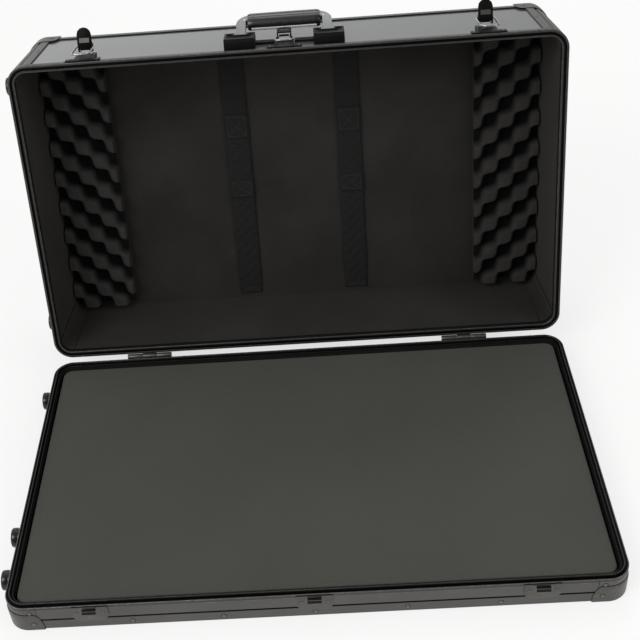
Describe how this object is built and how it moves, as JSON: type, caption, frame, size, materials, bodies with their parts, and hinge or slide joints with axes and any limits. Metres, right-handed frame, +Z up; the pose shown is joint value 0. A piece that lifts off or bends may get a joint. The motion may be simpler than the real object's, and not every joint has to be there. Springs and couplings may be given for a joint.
{
  "type": "flight case",
  "caption": "Aluminium-framed flight case, open: shallow foam-filled tray, deep hinged lid with egg-crate foam, draw latches and a swinging carrying handle.",
  "frame": {"origin": "middle of the tray's underside, on the floor plane", "axes": "+X to the case's right end, +Y to its hinged back, +Z up"},
  "size_m": [0.8158, 0.7656, 0.5368],
  "materials": {
    "dark_aluminium": "anodised gunmetal, satin",
    "dark_steel": "dark plated, satin",
    "laminated_board": "smooth laminate over thin board, dark lining inside",
    "plywood": "black stained board",
    "bed_foam": "smooth closed-cell foam",
    "eggcrate_foam": "open-cell convoluted foam",
    "webbing": "woven webbing",
    "black_steel": "black enamelled, semi-gloss",
    "bright_steel": "nickel plated wire",
    "black_plastic": "moulded, fine texture",
    "grip_rubber": "ribbed soft rubber",
    "bow_aluminium": "satin",
    "foot_rubber": "semi-gloss rubber"
  },
  "bodies": {
    "base": {"base_floor_panel": "plywood", "base_wall_front": "plywood", "base_wall_back": "plywood", "base_wall_left": "plywood", "base_wall_right": "plywood", "base_rim_rail": "dark_aluminium", "base_lower_rail": "dark_aluminium", "base_foam": "bed_foam", "base_corner_cap_front_left": "dark_steel", "base_corner_cap_front_right": "dark_steel", "base_corner_cap_back_left": "dark_steel", "base_corner_cap_back_right": "dark_steel", "catch_plate_left": "dark_steel", "catch_plate_centre": "dark_steel", "catch_plate_right": "dark_steel", "hinge_leaf_base_left": "dark_steel", "hinge_leaf_base_right": "dark_steel", "hinge_pin_left": "bright_steel", "hinge_pin_right": "bright_steel", "base_foot_front": "foot_rubber", "base_foot_middle": "foot_rubber", "base_foot_back": "foot_rubber"},
    "lid": {"lid_top_panel": "laminated_board", "lid_wall_front": "laminated_board", "lid_wall_back": "laminated_board", "lid_wall_left": "laminated_board", "lid_wall_right": "laminated_board", "lid_rim_rail": "dark_aluminium", "lid_top_rail": "dark_aluminium", "lid_corner_post_front_left": "dark_aluminium", "lid_corner_post_front_right": "dark_aluminium", "lid_corner_post_back_left": "dark_aluminium", "lid_corner_post_back_right": "dark_aluminium", "lid_corner_cap_front_left": "dark_steel", "lid_corner_cap_front_right": "dark_steel", "lid_corner_cap_back_left": "dark_steel", "lid_corner_cap_back_right": "dark_steel", "lid_eggcrate_foam_left": "eggcrate_foam", "lid_eggcrate_foam_right": "eggcrate_foam", "lid_strap_left": "webbing", "lid_strap_right": "webbing", "latch_plate_left": "black_steel", "latch_plate_centre": "black_steel", "latch_plate_right": "black_steel", "handle_post_left": "black_plastic", "handle_post_right": "black_plastic", "hinge_leaf_lid_left": "dark_steel", "hinge_leaf_lid_right": "dark_steel", "lid_foot_front": "foot_rubber", "lid_foot_back": "foot_rubber"},
    "handle": {"handle_bow": "bow_aluminium", "handle_grip": "grip_rubber"},
    "lever_left": {"latch_lever_left": "black_steel"},
    "loop_left": {"latch_loop_left": "bright_steel"},
    "lever_centre": {"latch_lever_centre": "black_steel"},
    "loop_centre": {"latch_loop_centre": "bright_steel"},
    "lever_right": {"latch_lever_right": "black_steel"},
    "loop_right": {"latch_loop_right": "bright_steel"}
  },
  "joints": [
    {"name": "lid_hinge", "type": "hinge", "parent": "base", "child": "lid", "pos_m": [0, 0.2405, 0.0433], "axis": [1, 0, 0], "range_deg": [0, 103]},
    {"name": "handle_swing", "type": "hinge", "parent": "lid", "child": "handle", "pos_m": [0, 0.39986, 0.50375], "axis": [1, 0, 0], "range_deg": [0, 80]},
    {"name": "latch_lever_left_turn", "type": "hinge", "parent": "lid", "child": "lever_left", "pos_m": [-0.288, 0.39121, 0.50626], "axis": [1, 0, 0], "range_deg": [-80, 40]},
    {"name": "latch_loop_left_turn", "type": "hinge", "parent": "lever_left", "child": "loop_left", "pos_m": [-0.288, 0.39684, 0.5093], "axis": [1, 0, 0], "range_deg": [-40, 80]},
    {"name": "latch_lever_centre_turn", "type": "hinge", "parent": "lid", "child": "lever_centre", "pos_m": [0, 0.39121, 0.50626], "axis": [1, 0, 0], "range_deg": [0, 120]},
    {"name": "latch_loop_centre_turn", "type": "hinge", "parent": "lever_centre", "child": "loop_centre", "pos_m": [0, 0.39518, 0.50124], "axis": [1, 0, 0], "range_deg": [-120, 0]},
    {"name": "latch_lever_right_turn", "type": "hinge", "parent": "lid", "child": "lever_right", "pos_m": [0.288, 0.39121, 0.50626], "axis": [1, 0, 0], "range_deg": [-80, 40]},
    {"name": "latch_loop_right_turn", "type": "hinge", "parent": "lever_right", "child": "loop_right", "pos_m": [0.288, 0.39684, 0.5093], "axis": [1, 0, 0], "range_deg": [-40, 80]}
  ],
  "couplings": [
    {"joint": "latch_loop_left_turn", "follows": "latch_lever_left_turn", "ratio": -1},
    {"joint": "latch_loop_centre_turn", "follows": "latch_lever_centre_turn", "ratio": -1},
    {"joint": "latch_loop_right_turn", "follows": "latch_lever_right_turn", "ratio": -1}
  ]
}
